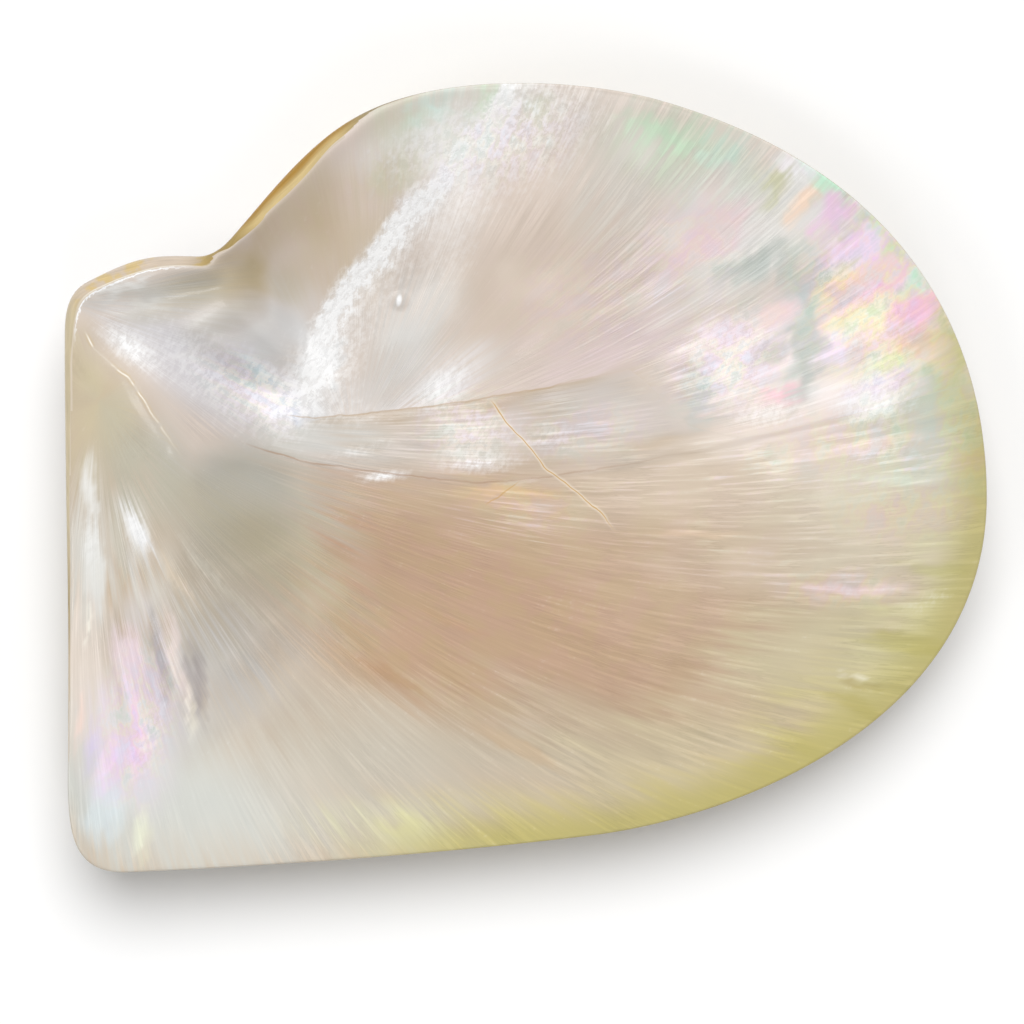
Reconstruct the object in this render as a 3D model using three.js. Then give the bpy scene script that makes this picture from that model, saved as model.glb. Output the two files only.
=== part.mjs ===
// One polished valve of a pearl oyster, lying with its hollow side up.
// Millimetres, +Z up. The straight hinge is at -X and the round lower margin at +X. The small
// front ear is at the hinge's +Y end and the square rear wing at its -Y end. The origin is
// under the middle of the valve, on the surface that it rests on.
import * as THREE from "three";

// The free edge seen from above, anticlockwise: cubic curves joined end to end. Each row holds
// two handles and an end point, and starts where the row before it ends.
const OUTLINE = {
  hinge: [[-75.5, 6], [-74.6, -24], [-75.2, -50]],
  wingCorner: [[-75.1, -58], [-74.4, -64.4], [-66, -64.4]],
  rearMargin: [[-46, -63.6], [-16, -61.9], [12, -58.3]],
  lowerMargin: [[38, -54.5], [75.2, -38], [75.2, -3]],
  frontMargin: [[75.2, 28], [57, 52.5], [20, 62.2]],
  crown: [[5, 65.7], [-18, 66.2], [-31, 57]],
  amberEdge: [[-37.5, 52.4], [-42, 46.5], [-46.2, 41.6]],
  byssalNotch: [[-48.7, 38.6], [-50.5, 36.2], [-54, 36.3]],
  earEdge: [[-62, 36.7], [-64.5, 36], [-72, 32]],
  umboCorner: [[-74.4, 30.6], [-75.4, 28], [-75.4, 24]],
};
const DEEPEST = new THREE.Vector2(-16, -3); // the lowest point of the bowl, inside and out
const FLOOR_HEIGHT = 3.6; // of the hollow side, above the surface that the valve rests on
const FLAT_DEPTH = 0.4; // ground off the lowest point, which leaves a flat to rest on
const OVAL_MIDDLE = new THREE.Vector2(-1, -1); // of the oval that the bowl rounds off to inwards
const OVAL_SIZE = new THREE.Vector2(72, 60); // its half sizes
const OVAL_FADE = 3; // power by which the oval gives way to the outline towards the edge
const LEDGE_RISE = 0.4; // share of the way out over which the wall climbs onto the hinge ledge
const CALM_POWER = 2.3; // of both sides near the lowest point
const BEVEL_SLOPE = 0.6; // fall of the bevelled edge for each millimetre of its width
const LIP_SHARE = 1.0001; // where the ledge ends: just past the lip, so that its climb has a length

// Values that change around the edge: [direction from the lowest point in degrees, value].
const LIP_HEIGHT = [[0, 19], [40, 20.5], [75, 22], [105, 24], [125, 24], [134, 22.8], [142, 22.8],
  [151, 23.8], [177, 23.4], [205, 21.5], [226, 19.5], [250, 18], [280, 17.5], [320, 18]];
const BEVEL_WIDTH = [[0, 0.4], [88, 0.4], [96, 0.8], [104, 2.1], [112, 2.8], [121, 2.2], [128, 1.3],
  [131, 0.9], [135, 2.6], [141, 2.6], [147, 2.3], [152, 1.8], [160, 1.3], [185, 1], [207, 0.8],
  [220, 0.4]];
const EDGE_THICKNESS = [[0, 0.7], [90, 0.9], [125, 1.6], [151, 2.6], [177, 3], [205, 2.2], [226, 1.1],
  [275, 0.7]];
const LEDGE_START = [[0, 1], [126, 1], [137, 0.88], [143, 0.88], [149, 0.95], [158, 0.87], [170, 0.79],
  [185, 0.77], [200, 0.8], [218, 0.86], [232, 0.92], [248, 0.97], [262, 1]];
const LEDGE_DROP = [[0, 0], [126, 0], [137, 2.2], [143, 2.2], [152, 0.6], [177, 1], [218, 0.8], [262, 0]];
const LEDGE_STRENGTH = [[0, 0.35], [60, 0.2], [105, 0], [126, 0], [137, 0.8], [158, 1], [190, 0.95],
  [218, 0.7], [245, 0.45], [310, 0.35]];
const BOWL_POWER = [[0, 2], [60, 2.1], [90, 2.3], [115, 2.6], [150, 3], [180, 3], [215, 2.8],
  [250, 2.4], [290, 2.2], [335, 2]];
const BACK_POWER = [[0, 1.9], [90, 2.2], [120, 2.6], [150, 2], [180, 1.8], [225, 1.8], [270, 1.9]];

// How finely the surface is divided.
const AROUND = 112;
const BOWL_RINGS = [0.1, 0.22, 0.34, 0.45, 0.55, 0.64, 0.72, 0.78, 0.83, 0.88, 0.92, 0.96];
const BACK_RINGS = [0.97, 0.92, 0.86, 0.79, 0.71, 0.62, 0.52, 0.42, 0.32, 0.22];

const FULL_TURN = 360;

// A value between its stops around the edge, eased so that it has no corners.
function around(stops, degrees) {
  const next = stops.findIndex(([angle]) => angle > degrees);
  const upper = next < 0 ? [stops[0][0] + FULL_TURN, stops[0][1]] : stops[next];
  const lower = stops[(next < 0 ? stops.length : next) - 1];
  const share = THREE.MathUtils.smoothstep(degrees, lower[0], upper[0]);
  return THREE.MathUtils.lerp(lower[1], upper[1], share);
}

// The edge as equally spaced points with the values that hold in each direction.
function edgePoints() {
  const path = new THREE.Path();
  const last = Object.values(OUTLINE).at(-1).at(-1);
  path.moveTo(...last);
  for (const [handleA, handleB, end] of Object.values(OUTLINE)) {
    path.bezierCurveTo(...handleA, ...handleB, ...end);
  }
  return path.getSpacedPoints(AROUND).slice(0, AROUND).map((point) => {
    const out = point.clone().sub(DEEPEST);
    const degrees = THREE.MathUtils.radToDeg(out.angle());
    return {
      direction: out.clone().normalize(),
      reach: out.length(),
      lip: around(LIP_HEIGHT, degrees),
      bevel: around(BEVEL_WIDTH, degrees),
      thickness: around(EDGE_THICKNESS, degrees),
      ledgeStart: around(LEDGE_START, degrees),
      ledgeDrop: around(LEDGE_DROP, degrees),
      bowlPower: around(BOWL_POWER, degrees),
      ledgeStrength: around(LEDGE_STRENGTH, degrees),
      backPower: around(BACK_POWER, degrees),
    };
  });
}

// How far out the oval lies from the lowest point in a direction.
function ovalReach(direction) {
  const step = direction.clone().divide(OVAL_SIZE);
  const start = DEEPEST.clone().sub(OVAL_MIDDLE).divide(OVAL_SIZE);
  const along = start.dot(step);
  const room = step.lengthSq() * (1 - start.lengthSq());
  return (Math.sqrt(along ** 2 + room) - along) / step.lengthSq();
}

// How far out a share of the way from the lowest point to a limit lies, in millimetres: near the
// lowest point the rings are oval, and towards the limit they take its shape.
function distanceOut(edge, share, limit) {
  return share * THREE.MathUtils.lerp(ovalReach(edge.direction), limit, share ** OVAL_FADE);
}

// The hollow side at a share of the way from the lowest point (0) to the lip (1): a bowl that
// steepens by a power, lifted towards its edge onto a ledge that climbs to the lip.
function bowlHeight(edge, share) {
  const power = THREE.MathUtils.lerp(CALM_POWER, edge.bowlPower, share);
  const bowl = THREE.MathUtils.lerp(FLOOR_HEIGHT, edge.lip, share ** power);
  const climb = THREE.MathUtils.smoothstep(share, edge.ledgeStart, LIP_SHARE);
  const ledge = edge.lip - edge.ledgeDrop * (1 - climb);
  const lift = THREE.MathUtils.smoothstep(share, edge.ledgeStart - LEDGE_RISE, edge.ledgeStart);
  return THREE.MathUtils.lerp(bowl, ledge, lift * edge.ledgeStrength);
}

// The outer side at a share of the way from the lowest point to the edge, flattened where it
// would pass below the surface that the valve rests on.
function backHeight(edge, share) {
  const underEdge = edge.lip - edge.bevel * BEVEL_SLOPE - edge.thickness;
  const power = THREE.MathUtils.lerp(CALM_POWER, edge.backPower, share);
  return Math.max(THREE.MathUtils.lerp(-FLAT_DEPTH, underEdge, share ** power), 0);
}

// Every ring of the body, from the middle of the hollow side over the lip to the outer side:
// each gives, for a direction, how far out it lies in millimetres and its height.
function rings() {
  const lipReach = (edge) => edge.reach - edge.bevel;
  const bowl = BOWL_RINGS.map((share) => (edge) => [
    distanceOut(edge, share, lipReach(edge)),
    bowlHeight(edge, share),
  ]);
  const lip = (edge) => [lipReach(edge), edge.lip];
  const bevelFoot = (edge) => [edge.reach, edge.lip - edge.bevel * BEVEL_SLOPE];
  const edgeFoot = (edge) => [edge.reach, backHeight(edge, 1)];
  const back = BACK_RINGS.map((share) => (edge) => [
    distanceOut(edge, share, edge.reach),
    backHeight(edge, share),
  ]);
  const flatRim = (edge) => {
    const share = (FLAT_DEPTH / (backHeight(edge, 1) + FLAT_DEPTH)) ** (1 / CALM_POWER);
    return [distanceOut(edge, share, edge.reach), 0];
  };
  return [...bowl, lip, bevelFoot, edgeFoot, ...back, flatRim];
}

// One closed body: a fan at the bottom of the bowl, bands between the rings, a fan on the flat.
function valveGeometry() {
  const edges = edgePoints();
  const allRings = rings();
  const positions = [DEEPEST.x, DEEPEST.y, FLOOR_HEIGHT];
  for (const ring of allRings) {
    for (const edge of edges) {
      const [distance, height] = ring(edge);
      const place = edge.direction.clone().multiplyScalar(distance).add(DEEPEST);
      positions.push(place.x, place.y, height);
    }
  }
  positions.push(DEEPEST.x, DEEPEST.y, 0);

  const indices = [];
  const vertex = (ring, step) => 1 + ring * AROUND + (step % AROUND);
  const outerMiddle = 1 + allRings.length * AROUND;
  for (let step = 0; step < AROUND; step += 1) {
    indices.push(0, vertex(0, step), vertex(0, step + 1));
    for (let ring = 0; ring + 1 < allRings.length; ring += 1) {
      const [a, b] = [vertex(ring, step), vertex(ring, step + 1)];
      const [c, d] = [vertex(ring + 1, step), vertex(ring + 1, step + 1)];
      indices.push(a, c, d, a, d, b);
    }
    const lastRing = allRings.length - 1;
    indices.push(vertex(lastRing, step), outerMiddle, vertex(lastRing, step + 1));
  }

  const geometry = new THREE.BufferGeometry();
  geometry.setAttribute("position", new THREE.Float32BufferAttribute(positions, 3));
  geometry.setIndex(indices);
  return geometry;
}

// The body with the middle of its box over the origin.
function centred(geometry) {
  geometry.computeBoundingBox();
  const middle = geometry.boundingBox.getCenter(new THREE.Vector3());
  geometry.translate(-middle.x, -middle.y, 0);
  geometry.computeVertexNormals();
  return geometry;
}

const nacre = new THREE.MeshStandardMaterial({ color: 0xd9d3c4, roughness: 0.28, metalness: 0 });
const valve = new THREE.Mesh(centred(valveGeometry()), nacre);
valve.name = "shell_valve";

const pearlOysterShell = new THREE.Group();
pearlOysterShell.add(valve);

export default pearlOysterShell;
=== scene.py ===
import math

import bpy
import numpy as np
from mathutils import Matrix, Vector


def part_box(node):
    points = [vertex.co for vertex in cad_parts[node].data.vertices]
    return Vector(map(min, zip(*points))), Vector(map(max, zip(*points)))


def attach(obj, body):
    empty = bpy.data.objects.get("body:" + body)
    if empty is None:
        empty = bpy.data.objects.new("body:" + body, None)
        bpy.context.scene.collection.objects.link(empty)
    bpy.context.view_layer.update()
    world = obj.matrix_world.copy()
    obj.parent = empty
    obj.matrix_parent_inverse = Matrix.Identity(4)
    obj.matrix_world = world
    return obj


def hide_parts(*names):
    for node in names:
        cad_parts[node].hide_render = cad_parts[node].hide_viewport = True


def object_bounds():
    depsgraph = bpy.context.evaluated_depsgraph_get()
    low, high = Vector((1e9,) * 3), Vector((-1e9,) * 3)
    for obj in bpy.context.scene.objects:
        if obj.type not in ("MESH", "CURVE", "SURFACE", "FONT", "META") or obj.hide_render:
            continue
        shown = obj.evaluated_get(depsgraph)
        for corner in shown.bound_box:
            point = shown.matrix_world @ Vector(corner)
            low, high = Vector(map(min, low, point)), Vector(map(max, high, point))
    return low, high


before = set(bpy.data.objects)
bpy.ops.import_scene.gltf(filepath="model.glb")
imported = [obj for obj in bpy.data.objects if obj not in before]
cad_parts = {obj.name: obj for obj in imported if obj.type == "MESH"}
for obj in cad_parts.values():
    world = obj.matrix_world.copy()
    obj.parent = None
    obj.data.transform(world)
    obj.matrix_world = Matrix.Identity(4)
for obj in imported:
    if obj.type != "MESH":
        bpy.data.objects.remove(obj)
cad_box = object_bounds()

# One polished valve of a pearl oyster, hollow side up. Shapes are worked out in millimetres in the
# valve's own plan: +X to the round lower margin, +Y to the small front ear, +Z up out of the
# hollow.
MM = 0.001
NODE = "shell_valve"

# ------------------------------------------------------------------------------------------------
# The valve's plan and section, the same formulas as the solid that it stands for.

# The free edge from above, anticlockwise: cubic curves joined end to end, each with two handles and
# an end point.
OUTLINE = {
    "hinge": [(-75.5, 6), (-74.6, -24), (-75.2, -50)],
    "wing corner": [(-75.1, -58), (-74.4, -64.4), (-66, -64.4)],
    "rear margin": [(-46, -63.6), (-16, -61.9), (12, -58.3)],
    "lower margin": [(38, -54.5), (75.2, -38), (75.2, -3)],
    "front margin": [(75.2, 28), (57, 52.5), (20, 62.2)],
    "crown": [(5, 65.7), (-18, 66.2), (-31, 57)],
    "amber edge": [(-37.5, 52.4), (-42, 46.5), (-46.2, 41.6)],
    "byssal notch": [(-48.7, 38.6), (-50.5, 36.2), (-54, 36.3)],
    "ear edge": [(-62, 36.7), (-64.5, 36), (-72, 32)],
    "umbo corner": [(-74.4, 30.6), (-75.4, 28), (-75.4, 24)],
}
CURVE_STEPS = 160  # straight steps that stand for each curve
DEEPEST = np.array([-16.0, -3.0])  # the lowest point of the bowl, inside and out
FLOOR_HEIGHT = 3.6  # of the hollow side, above the surface that the valve rests on
FLAT_DEPTH = 0.4  # ground off the lowest point, which leaves a flat to rest on
OVAL_MIDDLE = np.array([-1.0, -1.0])  # of the oval that the bowl rounds off to inwards
OVAL_SIZE = np.array([72.0, 60.0])  # its half sizes
OVAL_FADE = 3  # power by which the oval gives way to the outline towards the edge
LEDGE_RISE = 0.4  # share of the way out over which the wall climbs onto the hinge ledge
LIP_SHARE = 1.0001  # where the ledge ends: just past the lip, so that its climb has a length
CALM_POWER = 2.3  # of both sides near the lowest point
BEVEL_SLOPE = 0.6  # fall of the bevelled edge for each millimetre of its width

# Values that change around the edge: (direction from the lowest point in degrees, value).
LIP_HEIGHT = [(0, 19), (40, 20.5), (75, 22), (105, 24), (125, 24), (134, 22.8), (142, 22.8),
              (151, 23.8), (177, 23.4), (205, 21.5), (226, 19.5), (250, 18), (280, 17.5), (320, 18)]
BEVEL_WIDTH = [(0, 0.4), (88, 0.4), (96, 0.8), (104, 2.1), (112, 2.8), (121, 2.2), (128, 1.3),
               (131, 0.9), (135, 2.6), (141, 2.6), (147, 2.3), (152, 1.8), (160, 1.3), (185, 1),
               (207, 0.8), (220, 0.4)]
EDGE_THICKNESS = [(0, 0.7), (90, 0.9), (125, 1.6), (151, 2.6), (177, 3), (205, 2.2), (226, 1.1),
                  (275, 0.7)]
LEDGE_START = [(0, 1), (126, 1), (137, 0.88), (143, 0.88), (149, 0.95), (158, 0.87), (170, 0.79),
               (185, 0.77), (200, 0.8), (218, 0.86), (232, 0.92), (248, 0.97), (262, 1)]
LEDGE_DROP = [(0, 0), (126, 0), (137, 2.2), (143, 2.2), (152, 0.6), (177, 1), (218, 0.8), (262, 0)]
LEDGE_STRENGTH = [(0, 0.35), (60, 0.2), (105, 0), (126, 0), (137, 0.8), (158, 1), (190, 0.95),
                  (218, 0.7), (245, 0.45), (310, 0.35)]
BOWL_POWER = [(0, 2), (60, 2.1), (90, 2.3), (115, 2.6), (150, 3), (180, 3), (215, 2.8),
              (250, 2.4), (290, 2.2), (335, 2)]
BACK_POWER = [(0, 1.9), (90, 2.2), (120, 2.6), (150, 2), (180, 1.8), (225, 1.8), (270, 1.9)]

# How finely the skin is divided: columns around, and rings on each part of the section.
AROUND = 480
BOWL_RINGS = 104
RIM_RINGS = 12
BACK_RINGS = 58
BOWL_SPACING = 0.92  # powers below 1 draw the rings together towards the edge
BACK_SPACING = 0.9
EASED_RINGS = 3  # rings on the hollow side that are rounded together with the rim
EASINGS = 2  # times that the rim's rings are averaged with their neighbours
CALM_RIM_POWER = 14  # how late the hollow side's marks end before the lip
CALM_EDGE_POWER = 10  # and the outer side's before the edge

# Nacre covers a share of the bevel: the most where the bevel is narrow, and none where it has a
# width in millimetres that differs by the hinge and elsewhere.
COVERED_BEVEL = 0.85
NARROW_BEVEL = 0.4
BARE_BY_HINGE = 1.6
BARE_ELSEWHERE = 2.7

# Natural marks on the hollow side, as points and routes of points in millimetres.
FRONT_SCAR = [(-41.2, 10.7), (-33.8, 10.4), (-24, 11.4), (-10.5, 13), (3.3, 15.4), (17, 18.4)]
REAR_SCAR = [(-48.5, 6.3), (-37.1, 3), (-25.7, 1.4), (-7.7, -0.6), (0.5, 0.1), (15.2, 2.2),
             (34.8, 6.3), (52.8, 10.4), (66, 14)]
HAIR_CRACK = [(-6.5, 13.6), (2.9, 2.2), (11.9, -5.1), (15.2, -9.2)]
SHORT_CRACK = [(-6.9, -4.3), (-1.1, -0.2)]
HINGE_CREASE = [(-72.2, 24.3), (-70.6, 21), (-64.9, 16.4), (-55.1, 1.4), (-52.6, -6.8)]
UMBO_TROUGH = [(-69.8, 21), (-58.3, 21.8), (-48.5, 16.1), (-37.1, 9.6)]
WING_GROOVES = [[(-61.6, -21.5), (-59.2, -39.5)], [(-54.2, -26.4), (-53.4, -42.7)]]
PEARL_BUMP = (-21.2, 29.7)
BLISTER = (53.9, -32.9)

# Growth of the outer side: where it began, the direction it ran in, millimetres from one terrace
# to the next and their height, and the least reach in that direction, beside the umbo.
UMBO = np.array([-73.0, 24.0])
GROWTH_TURN = math.radians(-20)
GROWTH_STEP = 5.2
TERRACE_HEIGHT = 0.28
LEAST_REACH = 6

# Fans of strands: middle, bend, power of the bend, and the direction in radians where the angle
# starts over.
FRONT_FAN = ((-29, 6), 2.1e-5, 2, -2.1)
REAR_FAN = ((-69.8, 12.8), 0.0019, 1, -4.2)
UMBO_FAN = ((-75.5, 29), 0, 1, -3.6)

# Where the fans meet: routes with the front fan, and the umbo fan, on their left.
FAN_BORDER = [(-90, 30), (-72.2, 24.3), (-70.6, 21), (-64.9, 16.4), (-55.1, 3), (-46, 7),
              *FRONT_SCAR[1:], (22, 14), (27, 9), (34.8, 6.8), (52.8, 10.4), (66, 14), (90, 20)]
UMBO_BORDER = [(-90, 30), (-72.2, 24.3), (-70.6, 21), (-64.9, 16.4), (-55.1, 3), (-46, 4),
               (-38, 9), (-36, 22), (-44, 33), (-47, 60)]

TEAR = 4.5  # millimetres along the strands from which a torn colour may come

# A tint is an oval of colour: middle x, y, half length, half width, turn, colour, strength.
TINT_CORE = 0.3  # share of its size that has its whole strength
FRONT_BASE = "dccfc4"
REAR_BASE = "c9b7a1"
REAR_TINTS = [
    (4, -21, 72, 30, -20, "c4ab93", 0.9),
    (-10, -22, 54, 18, -22, "b89b82", 0.95),
    (-26, -14, 18, 11, -10, "b69a82", 0.8),
    (-20, -32, 30, 9, -24, "b99c80", 0.9),
    (-46, -4, 20, 20, -50, "c0beb3", 0.95),
    (-42, -13, 22, 10, -38, "beb69e", 0.85),
    (-30, 2, 16, 5, -8, "c6b3a4", 0.8),
    (-45, -28, 18, 16, -40, "c4b7a8", 0.8),
    (-54, -30, 12, 18, -75, "cdccca", 0.8),
    (-12, -45, 42, 11, 0, "c5baa8", 0.9),
    (-28, -46, 24, 12, -20, "c9c2b4", 0.8),
    (-62, -52, 42, 18, -12, "d3d5cf", 0.95),
    (-4, -60, 30, 9, 3, "cbc087", 0.9),
    (-22, -60, 20, 6, 0, "d2d0b4", 0.8),
    (26, -55, 32, 10, 16, "c5b885", 0.95),
    (22, -44, 26, 9, 12, "c9bd9f", 0.8),
    (52, -38, 26, 13, 50, "cac08d", 0.95),
    (45, -48.5, 15, 6, 38, "c1b57a", 0.85),
    (44, -28, 20, 10, 30, "cbc3a4", 0.8),
    (66, -24, 22, 11, 62, "cdc89c", 0.9),
    (73, -6, 9, 20, 0, "d0cba6", 0.9),
    (50, -8, 24, 14, 0, "d8cfba", 0.85),
    (36, -12, 18, 10, 0, "d1c0ac", 0.7),
    (30, 0, 34, 9, 4, "dbcbb9", 0.85),
    (37, 6, 14, 4, 8, "efe3d6", 0.8),
    (6, -38, 20, 6, -22, "bcab94", 0.6),
    (56, 3, 18, 9, 10, "dedac6", 0.8),
    (8, -5, 14, 6, 0, "cdbca6", 0.7),
    (-3, -3, 10, 4, -15, "d6bb98", 0.8),
    (10, 8, 18, 8, 8, "d3cbc4", 0.9),
    (12, 14, 13, 5, 12, "d3ccc8", 0.8),
    (23, 11, 10, 6, 10, "dad1cc", 0.8),
    (-14, 7, 16, 8, 8, "e2dad4", 0.9),
    (-36, 7, 16, 6, -10, "d9d8d4", 0.9),
    (-22, 6.5, 6, 4, 0, "c9bfb2", 0.8),
    (-52, -20, 10, 14, -60, "c6beae", 0.6),
    (-8, -38.5, 15, 6, -15, "bca78e", 0.7),
    (46, 6, 8, 4, 5, "d6cab8", 0.6),
    (-52, 4, 10, 8, -50, "c1c0b8", 0.8),
    (-61, 14, 6, 5, -40, "c6c0b0", 0.7),
    (-32, -21, 9, 6, -40, "b9a58c", 0.6),
    (66, 9, 12, 16, 0, "c3cfba", 0.9),
    (74, 16, 8, 14, -10, "c5c59c", 0.8),
    (-72, 14, 7, 16, 0, "d0c4a6", 0.95),
    (-64, 4, 9, 12, -10, "c0bdac", 0.9),
    (-72, -12, 6, 16, 0, "dddad2", 0.9),
    (-64, -12, 6, 9, 0, "e5e4de", 0.8),
    (-72, -32, 6, 16, 0, "ebe0d6", 0.85),
    (-62, -34, 9, 14, 0, "dcd7da", 0.85),
    (-66, -44, 10, 9, -60, "ece3ee", 0.8),
]
FRONT_TINTS = [
    (-31, 43, 13, 13, 50, "dacab0", 0.95),
    # This and the next two darker tans are painted shade on the wall below the amber edge, which
    # faces away from the key light.
    (-44, 34, 12, 6, 38, "c8b692", 0.9),
    (-51, 31, 9, 5, 12, "b7ab90", 0.8),
    (-33, 40, 7, 6, 50, "c8b494", 0.5),
    (-27, 52, 10, 7, 40, "ecdcd4", 0.9),
    (-14, 59, 20, 7, 12, "eaf3ea", 0.95),
    (-21, 54.5, 8, 5, 30, "d3d5ba", 0.8),
    (12, 54, 12, 9, 60, "d9d2c7", 0.8),
    (29, 55, 20, 8, -22, "ccd8c2", 0.9),
    (2, 44, 14, 16, 60, "efdfd3", 0.85),
    # Near-white tints, here and on the next line: painted glare, the soft part of the band.
    (-12, 36, 10, 7, 55, "f3e9e0", 0.8),
    (-12, 50, 11, 9, 60, "faf3ee", 0.9),
    (16, 47, 9, 10, 60, "e0dcd3", 0.8),
    (36, 47, 14, 9, -30, "dcdfd7", 0.8),
    (25, 39, 12, 9, 30, "efe3e0", 0.8),
    (42, 41, 14, 9, 30, "eceae6", 0.8),
    (50, 46, 12, 6, -45, "d9d3c2", 0.8),
    (57, 38, 14, 8, -50, "e9e2ea", 0.9),
    (64, 33, 12, 6, -60, "c9dec8", 0.9),
    (56, 30, 13, 8, 30, "f9e0cc", 0.9),
    (64, 24, 9, 12, 20, "f0cdd6", 0.9),
    (60, 19, 10, 8, 20, "f6e2b4", 0.85),
    (54, 14, 13, 7, 10, "f8f2f2", 0.9),
    (70, 18, 8, 14, 0, "bfc094", 0.9),
    (36, 20, 13, 11, 25, "f9ecee", 0.9),
    (45, 24, 8, 14, 30, "cfd2cc", 0.7),
    (30, 32, 12, 7, 30, "ebe6e2", 0.8),
    (42, 11, 16, 5, 8, "f4e4dc", 0.85),
    (27, 12, 5, 7, 0, "d0cec8", 0.7),
    (-4, 31, 22, 13, 40, "d5c5b6", 0.9),
    (7, 25, 14, 12, 25, "d5c5bc", 0.85),
    (14, 21, 12, 7, 15, "dfcdcd", 0.8),
    (-20, 24, 12, 8, 40, "d4d4d1", 0.85),
    (-16, 16, 14, 5, 20, "dcd9d6", 0.8),
    (-44, 23, 13, 9, 30, "dbd9d8", 0.9),
    # Partly painted reflection: pale silvery nacre by the umbo trough, lightened where its gloss
    # shows.
    (-40, 22, 10, 7, 40, "e8e9ea", 0.8),
    (-47, 26, 9, 1.6, 25, "efede8", 0.7),
    # Partly painted reflection: bluish white crinkle of the trough's gloss over silvery nacre.
    (-43, 16, 10, 7, -45, "eaf0f6", 0.9),
    (-61, 24.5, 6, 2.5, 18, "c9c4ba", 0.7),
    # Painted sheen: white silky strands.
    (-15, 15.5, 9, 4, 38, "f2eff0", 0.8),
    (-62, 29, 12, 5, 18, "c4c3bc", 0.9),
    # Partly painted reflection: the trough's silvery lilac, lightened where its gloss shows.
    (-52, 17, 24, 9, -35, "dfdde2", 0.95),
    (-44, 24, 12, 5, 35, "d6d4d2", 0.8),
    (-56, 26, 8, 2.6, 12, "bfb7a6", 0.6),
    (-38, 10, 18, 7, -10, "dddcdc", 0.9),
]
# Patches are smaller tints with crinkled edges: the play of colours beside the front margin, and
# the wing's folds with painted shade in their grooves and painted glints, and the blister's painted
# glint and shade.
PATCH_CORE = 0.55
PATCH_TEAR = 0.3  # share of the tear that moves them
FRONT_PATCHES = [
    (50, 49.5, 9, 2.8, -42, "c2ead0", 0.9), (59, 40.5, 8, 2.6, -55, "bce0b4", 0.9),
    (63.8, 33.5, 5, 2, -62, "c6ecd6", 0.8), (43.5, 51.5, 5, 2.4, -40, "f3eef4", 0.8),
    (45.5, 45.5, 4.5, 1.6, 50, "fadec8", 0.9), (50, 43.5, 5, 3, 35, "efcce6", 0.9),
    (53, 46, 4, 0.9, 35, "b8c2a4", 0.7), (55.5, 42.4, 4, 0.8, 30, "b4c4a0", 0.7),
    (54, 37.3, 7, 3.8, 25, "f4d6f6", 0.95), (51.5, 32.3, 6, 2.4, 30, "fbe2bc", 0.9),
    (59, 32, 5, 1.8, 30, "f7c6e4", 0.9), (56, 26.3, 8, 4.4, 25, "fef4c6", 0.95),
    (63.4, 27.4, 3.6, 3.4, 60, "f9c6dc", 0.85),
    (56, 43.5, 5, 2, -50, "c8dcc2", 0.8), (62.4, 22, 3, 2.8, 60, "f9d29a", 0.9),
    (50.5, 22, 4.5, 3.6, 20, "f8eafb", 0.9), (59.5, 19, 3.6, 2, 20, "e6f2ba", 0.9),
    # The pure white patch at the end of this line is a painted highlight.
    (57.5, 15.6, 5, 1.8, 15, "eedcfa", 0.9), (56.6, 12, 6, 2.8, 10, "ffffff", 1),
    (44.6, 31, 10, 3, 97, "c4cdc4", 0.85), (38.4, 35, 5, 2.6, 40, "c8d0ca", 0.8),
    (38.5, 20.3, 5, 1.9, 25, "c8c8c4", 0.75), (40.4, 26.6, 4, 2.4, 40, "f7dcda", 0.8),
    (31.5, 22.5, 7, 4, 25, "fbecef", 0.8), (42.3, 13.6, 4, 2.6, 10, "fbc6d2", 0.9),
    (27.4, 11, 5, 2.8, 85, "c8cec8", 0.8), (30, 40, 10, 4, 42, "eed2d6", 0.6),
    (41, 48, 4, 2.6, 70, "cdcda8", 0.8), (66.2, 12, 7, 3, 95, "bed2c0", 0.9),
    (69.6, 22, 10, 2.6, 105, "c4c08c", 0.9), (72.2, 10, 8, 2.2, 95, "c8c488", 0.9),
    (22, 56.5, 9, 3, -18, "c6e2c4", 0.8), (31, 53, 5, 2, -25, "c9e8d6", 0.6),
    (-16, 60.5, 6, 1.8, 25, "dcf4ec", 0.8), (-6, 61, 4, 2.4, 10, "d4f2d4", 0.7),
    (2, 60, 2.6, 3.6, 0, "cfd0b2", 0.7), (-32, 20, 4, 1.6, 60, "dbe9f0", 0.7),
    (-44, 16, 5, 1.6, -45, "cfe4f4", 0.8), (-40, 12.5, 5, 1.6, -50, "bcd0ea", 0.7),
    (-52, 21.5, 8, 1.2, 24, "e8e5e2", 0.7), (-66, 31.5, 6, 1, 22, "e9e9e6", 0.7),
    (-63, 28, 7, 0.8, 18, "dedcd4", 0.6), (46, 22, 14, 3.2, 84, "b9c1b9", 0.85),
    (36, 35.5, 7, 2.4, 30, "c2c9c2", 0.7), (29, 15.5, 6, 3, 88, "c6cccb", 0.8),
]
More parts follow.
